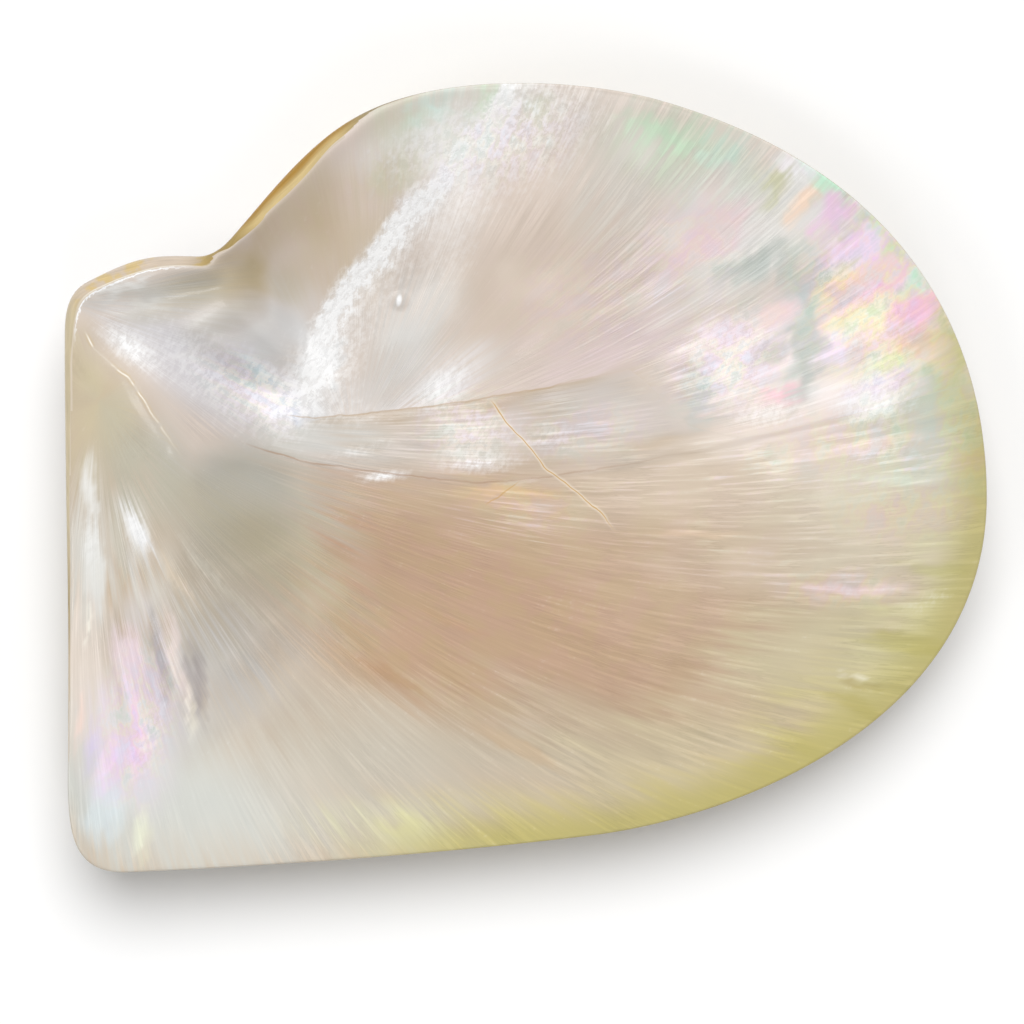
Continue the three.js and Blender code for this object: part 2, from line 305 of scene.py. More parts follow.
REAR_PATCHES = [
    # Painted highlights: the two white strokes on the wing.
    (-71, -1.5, 5.5, 1.4, -82, "f1f0ec", 0.8), (-63.6, -8.4, 5.8, 1.6, -62, "f6f6f6", 0.95),
    (-70.6, -15, 9, 2.2, -86, "e9e9e5", 0.8), (-66.5, -12, 9, 1.2, -84, "c9c4b4", 0.6),
    # Painted shade in the two wing grooves.
    (-60.4, -29, 8.5, 1.2, -80, "b0aca8", 0.85), (-54.2, -33.5, 8.5, 1.3, -85, "aea6a4", 0.8),
    # A painted highlight on the ridge between the grooves, and a painted glint below them.
    (-57.6, -29, 9, 1.3, -80, "ebdcd6", 0.85), (-55.6, -38, 4, 0.6, -88, "fbf3e4", 0.9),
    (-65.4, -28.5, 5, 3.2, -80, "efdde2", 0.8), (-65, -36.5, 5, 1.2, -85, "f2d8f4", 0.85),
    (-68.7, -47, 5.2, 1.7, 65, "f4dcf8", 0.95), (-63.6, -44.5, 4.6, 1.4, 60, "f6d2f6", 0.95),
    (-73.2, -39.5, 5, 1, 85, "f4dcd0", 0.9), (-63.2, -59, 4.6, 1.2, 80, "e9ebd2", 0.8),
    (-71, -43, 5, 1.2, 80, "dad0f0", 0.7), (-71.8, -23.3, 3.6, 0.4, 80, "fffbee", 1),
    (-69.5, -54.5, 6, 4, 70, "dde8ec", 0.7), (-53, -14, 7, 0.9, -45, "e9e5d8", 0.3),
    (-48, -20, 8, 0.9, -42, "dcd8c8", 0.3), (-57, -17, 6, 1, -55, "e2d2bc", 0.6),
    # The blister's painted glint, and painted shade on its far side.
    (53.3, -32.3, 1.3, 0.7, -20, "f6f1e0", 0.8), (55, -33.9, 2.4, 0.8, -20, "a8965a", 0.7),
    (-20, -57.5, 5, 3, 10, "d8d4a4", 0.7), (-2, -44, 10, 1.4, -26, "c8b093", 0.6),
    (-22, -33, 9, 1.2, -30, "b3926f", 0.6), (-12, -24, 8, 1, -24, "b8987c", 0.6),
    (54, -18, 9, 1.2, 2, "ecd8d2", 0.7), (28, -9, 8, 0.8, -2, "e6cdb4", 0.6),
    (58, 6, 8, 1, 8, "f2e2cc", 0.8), (-3, -2, 8, 1, -6, "e2c49a", 0.7),
    (62, -27, 9, 1.8, -12, "b8b06c", 0.6), (55, -37.5, 8, 1.8, -25, "b6ab6a", 0.6),
    (45, -44, 8, 1.6, -35, "bab076", 0.5), (67, -15, 8, 1.4, -4, "bcb880", 0.5),
    (60, 0, 9, 1.2, 2, "e6eedd", 0.6), (50, 4.5, 10, 1, 5, "f4e6da", 0.6),
]
MARGIN_COLOUR = "b6ac68"

# Where the nacre has painted shine (painted highlights), plays in colours, has silky strands of
# painted sheen, lies calm or is warmer: ovals with a strength.
PAINTED_SHINE = [
    (0, 57, 22, 10, 15, 0.5), (-16, 55, 18, 8, 30, 0.45), (-35, 18, 15, 9, 55, 0.75),
    (-30, 11, 12, 5, 5, 0.35), (-50, 16, 24, 9, -38, 0.6), (-65, 21.5, 10, 4, -38, 0.85),
    (-43, 14.5, 10, 6, -50, 0.85), (-14, 15.5, 10, 5.5, 38, 0.75), (-28, 5, 10, 2, 10, 0.4),
    (-24, 0.6, 8, 1.6, 6, 0.8), (33, 20, 13, 12, 50, 0.7), (57, 13, 11, 7, 10, 0.75),
    (57, 24, 11, 13, 30, 0.5), (40, 11, 10, 4, 8, 0.6), (-62, -42, 5, 16, -20, 0.3),
    (-71, -10, 3, 12, 0, 0.4), (-63.6, -8.4, 3, 7, 25, 0.5), (4, 7, 9, 5, 8, 0.45),
    (58, 4.5, 12, 4, 5, 0.35), (-9, 8, 12, 8, -6, 0.6), (-8, 2.8, 12, 3, -2, 0.6),
    (50, 34, 7, 4, 25, 0.4), (44, 50, 8, 4, -40, 0.4), (54, -18, 12, 2, 0, 0.25),
    (-66, 32, 7, 2, 22, 0.3), (-12, 37, 9, 6, 50, 0.3), (66, -20, 8, 2, 20, 0.2),
]
PLAY = [
    (56, 28, 22, 16, -60, 0.9), (62, 38, 20, 8, -52, 0.9), (34, 20, 16, 13, 20, 0.6),
    (54, 6, 24, 9, 5, 0.5), (60, -5, 16, 8, 0, 0.4), (-64, -40, 9, 20, -10, 0.7),
    (-10, 9, 14, 10, 10, 0.35), (-24, 50, 9, 11, -35, 0.12), (-46, 15, 14, 8, -40, 0.4),
    (-4, 55, 20, 10, 15, 0.35), (10, 8, 16, 8, 8, 0.3), (26, 38, 16, 12, 35, 0.35),
    (70, 8, 10, 22, 0, 0.3), (52, -18, 16, 5, 0, 0.4), (10, 30, 18, 14, 20, 0.2),
    (0, -4, 16, 6, -10, 0.2),
]
# Silky strands are painted sheen: pale glinting strands laid into the colour.
PAINTED_SILK_SHEEN = [
    (40, 3, 42, 10, 4, 0.7), (57, 2, 18, 8, 4, 0.5), (-4, -6, 30, 8, -10, 0.35),
    (24, 28, 22, 16, 35, 0.6), (44, -14, 34, 12, -6, 0.35), (8, 9, 18, 8, 8, 0.5),
    (-60, -20, 12, 22, 10, 0.3), (-10, 12, 14, 8, 25, 0.6), (-20, 18, 18, 8, 35, 0.4),
]
CALM = [
    (-70, 10, 10, 22, 0, 0.8), (-46, -4, 18, 16, -40, 0.7), (-38, 40, 28, 30, 50, 0.95),
    (-4, 32, 28, 22, 40, 0.8), (-44, 24, 20, 16, -20, 0.9), (-56, -48, 30, 22, 0, 0.8),
    (-14, 55, 34, 18, 20, 0.9), (-20, -44, 40, 16, -10, 0.4), (-30, 18, 14, 12, 20, 0.6),
    (-52, 17, 24, 10, -36, 0.9),
]
WARMTH = [
    (2, -18, 66, 26, -14, 0.8), (-20, -28, 36, 12, -28, 0.6), (4, 30, 24, 18, 40, 0.4),
    (-36, 42, 12, 14, 50, 0.5), (30, -6, 34, 12, 0, 0.4), (-30, -6, 16, 8, -10, 0.4),
]

# The band of painted glare, a painted highlight that runs from the crown to the umbo trough, with
# its outer edge as a route: it starts there with a core and falls off inwards over a skirt, widest
# at the crown.
BAND_EDGE = [(-5.5, 62), (-6.8, 59), (-10.6, 55.8), (-12.8, 53), (-15.7, 49.8), (-20.3, 45.6),
             (-23.9, 41.1), (-27, 36.4), (-30.8, 33.2), (-34, 28), (-36.5, 22), (-39, 14), (-40, 9)]
BAND_CORE = 3.6
BAND_SKIRT = 11
CROWN_SKIRT = 8

LIGHT_GAIN = 1.06  # what the studio's light multiplies a colour by
GLOSS_GAIN = 0.035  # what the gloss adds to it


def paint(code):
    """A screen colour code such as d8c4a0 as the linear colour that shows as it: less what the
    gloss adds, over what the light gives."""
    parts = [int(code[i:i + 2], 16) / 255 for i in (0, 2, 4)]
    linear = [p / 12.92 if p <= 0.04045 else ((p + 0.055) / 1.055) ** 2.4 for p in parts]
    return tuple(max(part - GLOSS_GAIN, 0.01) / LIGHT_GAIN for part in linear) + (1.0,)


def smoothstep(value, low, high):
    """0 below low, 1 above high, and 3t^2 - 2t^3 of the share t between them; low may be over
    high."""
    share = np.clip((value - low) / (high - low), 0, 1)
    return share * share * (3 - 2 * share)


def around(stops, degrees):
    """The value in each direction: the stops on either side of it, eased into each other."""
    angles, values = np.array(stops, float).T
    angles = np.append(angles, angles[0] + 360)
    values = np.append(values, values[0])
    lower = np.searchsorted(angles, degrees, side="right") - 1
    share = smoothstep(degrees, angles[lower], angles[lower + 1])
    return values[lower] + (values[lower + 1] - values[lower]) * share


def edge_points(count):
    """Equally spaced points on the outline: each cubic curve is a(1-t)^3 + 3b(1-t)^2 t
    + 3c(1-t)t^2 + dt^3, and the joined curves are divided by length."""
    t = np.linspace(0, 1, CURVE_STEPS, endpoint=False)[:, None]
    rows = [np.array(row, float) for row in OUTLINE.values()]
    starts = [rows[-1][2]] + [row[2] for row in rows[:-1]]
    curves = [start * (1 - t) ** 3 + 3 * row[0] * (1 - t) ** 2 * t + 3 * row[1] * (1 - t) * t ** 2
              + row[2] * t ** 3 for start, row in zip(starts, rows)]
    line = np.vstack(curves + [starts[0]])
    along = np.concatenate([[0], np.cumsum(np.hypot(*np.diff(line, axis=0).T))])
    places = np.linspace(0, along[-1], count, endpoint=False)
    return np.column_stack([np.interp(places, along, line[:, 0]),
                            np.interp(places, along, line[:, 1])])


def nearest_on(route, x, y):
    """Distance of each point from a route of straight stretches, with a plus sign on its left,
    and the share of the route's length at which the nearest point lies."""
    route = np.array(route, float)
    steps = np.diff(route, axis=0)
    lengths = np.hypot(*steps.T)
    begun = np.concatenate([[0], np.cumsum(lengths)])
    away = np.stack([x, y], -1)[..., None, :] - route[:-1]
    share = np.clip((away * steps).sum(-1) / lengths ** 2, 0, 1)
    gap = away - share[..., None] * steps
    distance = np.hypot(gap[..., 0], gap[..., 1])
    nearest = distance.argmin(-1)[..., None]
    side = np.sign(steps[:, 0] * away[..., 1] - steps[:, 1] * away[..., 0])
    reached = (begun[:-1] + share * lengths) / begun[-1]
    picked = [np.take_along_axis(a, nearest, -1)[..., 0] for a in (distance, side, reached)]
    return picked[0] * picked[1], picked[2]


def ripple(x, y, seed, size):
    """Gentle uneven waves about size millimetres long, between about -1 and 1: a sum of plane
    sine waves in random directions."""
    dice = np.random.default_rng(seed)
    turns = dice.uniform(0, 2 * math.pi, 9)
    phases = dice.uniform(0, 2 * math.pi, 9)
    lengths = size * dice.uniform(0.7, 1.6, 9)
    waves = [np.sin(2 * math.pi * (x * math.cos(a) + y * math.sin(a)) / l + p)
             for a, p, l in zip(turns, phases, lengths)]
    return sum(waves) / 3


def bell(distance, width):
    """1 at no distance, falling as exp(-(d / width)^2)."""
    return np.exp(-(distance / width) ** 2)


def bowl_relief(x, y):
    """Height in millimetres that the marks add to the smooth hollow side: bells across the
    routes of ridges and grooves, a ridge and a step at the scars, single bells at the bumps, and
    uneven waves."""
    crease, crease_share = nearest_on(HINGE_CREASE, x, y)
    trough, trough_share = nearest_on(UMBO_TROUGH, x, y)
    height = 0.5 * bell(crease, 1.1) * smoothstep(crease_share, 1, 0.55)
    height -= 1.3 * bell(trough, 4.5) * smoothstep(trough_share, 1, 0.6)
    for route in WING_GROOVES:
        groove, share = nearest_on(route, x, y)
        height -= 0.45 * bell(groove, 1.7) * smoothstep(abs(share - 0.5), 0.5, 0.2)
    front, front_share = nearest_on(FRONT_SCAR, x, y)
    rear = nearest_on(REAR_SCAR, x, y)[0]
    height += 0.22 * bell(front, 0.8) * smoothstep(front_share, 1, 0.7)
    height += 0.22 * smoothstep(rear, -0.9, 0.4) * bell(np.maximum(rear, 0), 9)
    height += 0.35 * bell(np.hypot(x - PEARL_BUMP[0], y - PEARL_BUMP[1]), 0.9)
    height += 0.5 * bell(np.hypot((x - BLISTER[0]) / 1.5, y - BLISTER[1]), 1.6)
    height += 0.16 * ripple(x, y, seed=3, size=26) + 0.05 * ripple(x, y, seed=4, size=9)
    return height


def growth_size(x, y):
    """Size of the young valve whose edge passed each point: radius of the circle through the
    point that touches the umbo, |P|^2 / 2(P . d) from the umbo, with d the way of growth."""
    out_x, out_y = x - UMBO[0], y - UMBO[1]
    towards = out_x * math.cos(GROWTH_TURN) + out_y * math.sin(GROWTH_TURN)
    return (out_x ** 2 + out_y ** 2) / (2 * np.maximum(towards, LEAST_REACH))


def back_relief(x, y):
    """Worn growth terraces on the outer side: a rounded saw of the growth size, and waves."""
    size = growth_size(x, y) + 0.7 * ripple(x, y, seed=7, size=22)
    saw = np.mod(size / GROWTH_STEP, 1)
    terrace = saw * smoothstep(saw, 1, 0.8)
    return TERRACE_HEIGHT * terrace + 0.14 * ripple(x, y, seed=8, size=24)


class Edge:
    """What holds in each direction from the lowest point, one value per column."""

    def __init__(self, count):
        points = edge_points(count) - DEEPEST
        degrees = np.degrees(np.arctan2(points[:, 1], points[:, 0])) % 360
        self.reach = np.hypot(*points.T)
        self.direction = points / self.reach[:, None]
        self.lip = around(LIP_HEIGHT, degrees)
        self.bevel = around(BEVEL_WIDTH, degrees)
        self.thickness = around(EDGE_THICKNESS, degrees)
        self.ledge_start = around(LEDGE_START, degrees)
        self.ledge_drop = around(LEDGE_DROP, degrees)
        self.ledge_strength = around(LEDGE_STRENGTH, degrees)
        self.bowl_power = around(BOWL_POWER, degrees)
        self.back_power = around(BACK_POWER, degrees)
        self.foot = self.lip - self.bevel * BEVEL_SLOPE
        self.under = self.foot - self.thickness
        # How far out the oval lies: the positive root of its equation along each direction.
        step = self.direction / OVAL_SIZE
        start = (DEEPEST - OVAL_MIDDLE) / OVAL_SIZE
        along = step @ start
        square = (step ** 2).sum(1)
        self.oval = (np.sqrt(along ** 2 + square * (1 - start @ start)) - along) / square

    def distance(self, share, limit):
        """How far out a share of the way lies: ovals near the lowest point, the limit's shape
        towards the limit, share * (oval + (limit - oval) * share^fade)."""
        return share * (self.oval + (limit - self.oval) * share ** OVAL_FADE)

    def bowl_height(self, share):
        """Hollow side: floor + (lip - floor) * share^power, lifted onto the hinge ledge."""
        power = CALM_POWER + (self.bowl_power - CALM_POWER) * share
        bowl = FLOOR_HEIGHT + (self.lip - FLOOR_HEIGHT) * share ** power
        ledge = self.lip - self.ledge_drop * (1 - smoothstep(share, self.ledge_start, LIP_SHARE))
        lift = smoothstep(share, self.ledge_start - LEDGE_RISE, self.ledge_start)
        return bowl + (ledge - bowl) * lift * self.ledge_strength

    def back_height(self, share):
        """Outer side before its flat is ground: (under + depth) * share^power - depth."""
        power = CALM_POWER + (self.back_power - CALM_POWER) * share
        return (self.under + FLAT_DEPTH) * share ** power - FLAT_DEPTH


def valve_rings(edge):
    """Rings of the whole skin, from the middle of the hollow over the rim to the middle of the
    outer side, as grids of plan x, plan y, height and how far inside the lip they lie. The rim is
    eased round, and the marks are added where they are calm enough to leave it as it is."""
    inner_reach = edge.reach - edge.bevel
    share = np.linspace(0, 1, BOWL_RINGS + 1)[1:, None] ** BOWL_SPACING
    bowl_out = edge.distance(share, inner_reach)
    bowl_up = edge.bowl_height(share)

    t = np.linspace(0, 1, RIM_RINGS // 2 + 1)[1:, None]
    bevel_out = inner_reach + edge.bevel * t
    bevel_up = edge.lip + (edge.foot - edge.lip) * t
    side_out = edge.reach + 0 * t
    side_up = edge.foot + (edge.under - edge.foot) * t

    back_share = np.linspace(1, 0, BACK_RINGS + 1)[1:-1, None] ** BACK_SPACING
    back_out = edge.distance(back_share, edge.reach)
    back_up = edge.back_height(back_share)

    out = np.vstack([bowl_out, bevel_out, side_out, back_out])
    up = np.vstack([bowl_up, bevel_up, side_up, back_up])
    rim = slice(BOWL_RINGS - EASED_RINGS, BOWL_RINGS + RIM_RINGS + EASED_RINGS - 1)
    for _ in range(EASINGS):
        out[rim] = eased(out[rim])
        up[rim] = eased(up[rim])
    x = DEEPEST[0] + out * edge.direction[:, 0]
    y = DEEPEST[1] + out * edge.direction[:, 1]

    calm_rim = 1 - share ** CALM_RIM_POWER
    up[:BOWL_RINGS] += bowl_relief(x[:BOWL_RINGS], y[:BOWL_RINGS]) * calm_rim
    first_back = BOWL_RINGS + RIM_RINGS
    calm_edge = 1 - back_share ** CALM_EDGE_POWER
    up[first_back:] += back_relief(x[first_back:], y[first_back:]) * calm_edge
    up[first_back:] = np.maximum(up[first_back:], 0)
    return x, y, up, inner_reach - out


def eased(rows):
    """Rows between the first and last, each averaged with its neighbours as (a + 2b + c) / 4."""
    rows = rows.copy()
    rows[1:-1] = (rows[:-2] + 2 * rows[1:-1] + rows[2:]) / 4
    return rows


def mesh_piece(name, points, quads, triangles):
    """A smooth-shaded mesh object at the origin from points in metres and two arrays of faces."""
    mesh = bpy.data.meshes.new(name)
    corners = np.concatenate([quads.ravel(), triangles.ravel()])
    sizes = np.concatenate([np.full(len(quads), 4), np.full(len(triangles), 3)])
    mesh.vertices.add(len(points))
    mesh.vertices.foreach_set("co", points.ravel())
    mesh.loops.add(len(corners))
    mesh.loops.foreach_set("vertex_index", corners)
    mesh.polygons.add(len(sizes))
    mesh.polygons.foreach_set("loop_start", np.concatenate([[0], np.cumsum(sizes)[:-1]]))
    mesh.polygons.foreach_set("loop_total", sizes)
    mesh.update(calc_edges=True)
    mesh.shade_smooth()
    piece = bpy.data.objects.new(name, mesh)
    bpy.context.scene.collection.objects.link(piece)
    return piece


def attribute(piece, name, values, kind="FLOAT", field="value"):
    """One number, colour or vector per vertex, kept on the mesh under a name for the finishes."""
    layer = piece.data.attributes.new(name, kind, "POINT")
    layer.data.foreach_set(field, np.ascontiguousarray(values, np.float32).ravel())


def strands(x, y, fan):
    """Place among the strands of a fan and the unit way that they run: across the strands,
    angle - bend * distance^power; along them, the distance from the fan's middle."""
    middle, bend, power, cut = fan
    out_x, out_y = x - middle[0], y - middle[1]
    far = np.hypot(out_x, out_y)
    angle = np.mod(np.arctan2(out_y, out_x) - cut, 2 * math.pi) + cut
    turned = bend * far ** power
    way = angle + np.arctan(power * turned)
    return np.column_stack([angle - turned, far, 0 * far]), np.cos(way), np.sin(way)


def oval(x, y, place, core):
    """1 in the inner part, its core, of an oval (middle x, y, half length, half width, turn in
    degrees), falling smoothly to 0 at its edge."""
    middle_x, middle_y, length, width, turn = place
    turn = math.radians(turn)
    along = (x - middle_x) * math.cos(turn) + (y - middle_y) * math.sin(turn)
    across = (y - middle_y) * math.cos(turn) - (x - middle_x) * math.sin(turn)
    return smoothstep(np.hypot(along / length, across / width), 1, core)


def laid_over(x, y, colour, tints, core):
    """Colours with ovals of other colours laid over them one after another."""
    for *place, code, strength in tints:
        share = (strength * oval(x, y, place, core))[:, None]
        colour = colour + (np.array(paint(code)) - colour) * share
    return colour


def fan_colour(x, y, way_x, way_y, step, base, tints, patches, wave):
    """A fan's colours as they are a step along the strands away: wide tints over a base, then
    patches, which are stepped less and have waves, wave millimetres deep, in their edges."""
    colour = np.tile(paint(base), (len(x), 1))
    colour = laid_over(x + way_x * step, y + way_y * step, colour, tints, TINT_CORE)
    wave_x = wave * (ripple(x, y, seed=21, size=7) + 0.5 * ripple(x, y, seed=22, size=2.6))
    wave_y = wave * (ripple(x, y, seed=23, size=7) + 0.5 * ripple(x, y, seed=24, size=2.6))
    step = step * PATCH_TEAR
    return laid_over(x + way_x * step + wave_x, y + way_y * step + wave_y, colour, patches,
                     PATCH_CORE)


def amount(x, y, ovals):
    """How strongly something shows, from ovals that end in a strength: 1 less the product of
    what each leaves."""
    left = np.ones(len(x))
    for *place, strength in ovals:
        left *= 1 - strength * oval(x, y, place, 0)
    return 1 - left


def mark_fans(valve, x, y, inset):
    """Attributes of the fans: places among their strands, and their colours a little way along
    the strands to either side, with the rear fan's margin coloured by how near the lip it is."""
    front_place, front_x, front_y = strands(x, y, FRONT_FAN)
    rear_place, rear_x, rear_y = strands(x, y, REAR_FAN)
    umbo_place, umbo_x, umbo_y = strands(x, y, UMBO_FAN)
    for name, place in (("front", front_place), ("rear", rear_place), ("umbo", umbo_place)):
        attribute(valve, name + "_strands", place, "FLOAT_VECTOR", "vector")
    umbo_zone = nearest_on(UMBO_BORDER, x, y)[0]
    attribute(valve, "umbo_zone", umbo_zone)
    attribute(valve, "fan_border", nearest_on(FAN_BORDER, x, y)[0])
    # The two fans' colours hardly run into each other at the front scar, and widely beyond it.
    blur = 0.15 + 5 * smoothstep(x, 10, 20) + 4 * smoothstep(x, -34, -44)
    attribute(valve, "border_blur", blur)

    umbo_share = smoothstep(umbo_zone, -3, 3)
    front_x += (umbo_x - front_x) * umbo_share
    front_y += (umbo_y - front_y) * umbo_share
    margin = smoothstep(inset, 8, 0.5) * smoothstep(x, -36, 0) * smoothstep(y, 24, 4)
    margin = (0.7 * margin)[:, None]
    for side, step in (("inward", -TEAR), ("outward", TEAR)):
        front = fan_colour(x, y, front_x, front_y, step, FRONT_BASE, FRONT_TINTS, FRONT_PATCHES,
                           wave=0.8)
        rear = fan_colour(x, y, rear_x, rear_y, step, REAR_BASE, REAR_TINTS, REAR_PATCHES,
                          wave=0.3)
        rear = rear + (np.array(paint(MARGIN_COLOUR)) - rear) * margin
        attribute(valve, "front_" + side, front, "FLOAT_COLOR", "color")
        attribute(valve, "rear_" + side, rear, "FLOAT_COLOR", "color")


def painted_glare_band(x, y):
    """How strongly the band of painted glare shows: the greater of a bell, its core, and a straight
    fall, its skirt, of the distance inside its waved edge, fading out towards the trough."""
    band, share = nearest_on(BAND_EDGE, x, y)
    band = band + 0.3 * ripple(x, y, seed=11, size=9) + 0.3 * ripple(x, y, seed=12, size=3)
    width = BAND_SKIRT + CROWN_SKIRT * smoothstep(share, 0.4, 0)
    core = 0.95 * bell(np.maximum(band - 1.8, 0), BAND_CORE)
    skirt = 0.68 * np.clip(1.05 - band / width, 0, 1)
    return smoothstep(band, -1.6, 0.7) * np.maximum(core, skirt) * smoothstep(y, 7, 22)


def mark_lines(valve, x, y):
    """Attributes of the thin lines: distance from each route, with a wobble, and a strength that
    fades in at the route's start and out over its last part."""
    wobble = 0.12 * ripple(x, y, seed=25, size=6) + 0.06 * ripple(x, y, seed=26, size=1.8)
    for name, route, last, whole in (
            ("front_scar", FRONT_SCAR, 1.0, 0.7), ("rear_scar", REAR_SCAR, 0.75, 0.3),
            ("hair_crack", HAIR_CRACK, 1.0, 0.85), ("short_crack", SHORT_CRACK, 1.0, 0.8),
            ("hinge_crease", HINGE_CREASE, 0.75, 0.3)):
        distance, share = nearest_on(route, x, y)
        strength = smoothstep(share, last, whole) * smoothstep(share, 0, 0.06)
        attribute(valve, name, distance + wobble)
        attribute(valve, name + "_strength", strength)


def mark_valve(valve, x, y, inset):
    """Attributes that the finishes read: the fans, how strongly each effect shows, the lines,
    the growth size and how far inside the lip each point lies."""
    mark_fans(valve, x, y, inset)
    # Painted shine: where the painted highlights and the band of painted glare show.
    attribute(valve, "shine", 1 - (1 - amount(x, y, PAINTED_SHINE)) * (1 - painted_glare_band(x, y)))
    # Where the painted sheen of silky strands shows, where the colours play and where it is warmer.
    for name, ovals in (("silk", PAINTED_SILK_SHEEN), ("play", PLAY), ("warmth", WARMTH)):
        attribute(valve, name, amount(x, y, ovals))
    attribute(valve, "torn", 1 - amount(x, y, CALM))
    mark_lines(valve, x, y)
    attribute(valve, "growth", growth_size(x, y))
    attribute(valve, "inset", inset)


def make_valve():
    """The valve's whole skin, and the number of each face's finish: bands of quads between rings
    and a fan of triangles at each middle, moved so that its box stands where the solid's does."""
    edge = Edge(AROUND)
    x, y, up, inset = valve_rings(edge)
    count = x.size
    points = np.column_stack([x.ravel(), y.ravel(), up.ravel()])
    middles = [(*DEEPEST, FLOOR_HEIGHT + bowl_relief(*DEEPEST)), (*DEEPEST, 0)]
    points = np.vstack([points, middles])

    rings = np.arange(count).reshape(x.shape)
    turned = np.roll(rings, -1, axis=1)
    quads = np.stack([rings[:-1], rings[1:], turned[1:], turned[:-1]], -1).reshape(-1, 4)
    bowl_fan = np.column_stack([np.full(AROUND, count), rings[0], turned[0]])
    back_fan = np.column_stack([rings[-1], np.full(AROUND, count + 1), turned[-1]])

    low, high = (np.array(corner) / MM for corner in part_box(NODE))
    plan_middle = (points[:, :2].min(0) + points[:, :2].max(0)) / 2
    shift = (low + high)[:2] / 2 - plan_middle
    placed = points + [*shift, low[2]]
    valve = mesh_piece("valve", placed * MM, quads, np.vstack([bowl_fan, back_fan]))

    deepest = [inset.max(), inset.max()]
    mark_valve(valve, points[:, 0], points[:, 1], np.append(inset, deepest))
    by_hinge = edge.direction[:, 0] <= -0.5  # within 60 degrees of -X
    bare = np.where(by_hinge, BARE_BY_HINGE, BARE_ELSEWHERE)
    covered_share = COVERED_BEVEL * smoothstep(edge.bevel, bare, NARROW_BEVEL)
    covered = inset + covered_share * edge.bevel
    attribute(valve, "covered", np.append(covered, deepest))
    ring_of_face = np.repeat(np.arange(x.shape[0] - 1), AROUND)
    over_bevel = np.floor(covered_share * RIM_RINGS / 2)
    nacre_end = BOWL_RINGS - 1 + np.tile(over_bevel, x.shape[0] - 1)
    slots = np.select([ring_of_face < nacre_end, ring_of_face < BOWL_RINGS + RIM_RINGS - 1],
                      [0, 1], 2)
    slots = np.concatenate([slots, np.zeros(AROUND, int), np.full(AROUND, 2)])
    return valve, slots


# ------------------------------------------------------------------------------------------------
# Shader maths.

class Signal:
    """A value in a finish's node tree, so that shader maths on numbers reads as arithmetic."""

    def __init__(self, finish, socket):
        self.finish = finish
        self.socket = socket

    def maths(self, operation, first, second):
        """The value that a Math node works out from two."""
        return self.finish.node("Math", {"operation": operation}, {0: first, 1: second})

    def __add__(self, other):
        return self.maths("ADD", self, other)

    def __sub__(self, other):
        return self.maths("SUBTRACT", self, other)

    def __rsub__(self, other):
        return self.maths("SUBTRACT", other, self)

    def __mul__(self, other):
        return self.maths("MULTIPLY", self, other)

    def __truediv__(self, other):
        return self.maths("DIVIDE", self, other)

    def __abs__(self):
        return self.maths("ABSOLUTE", self, 0)

    __radd__ = __add__
    __rmul__ = __mul__


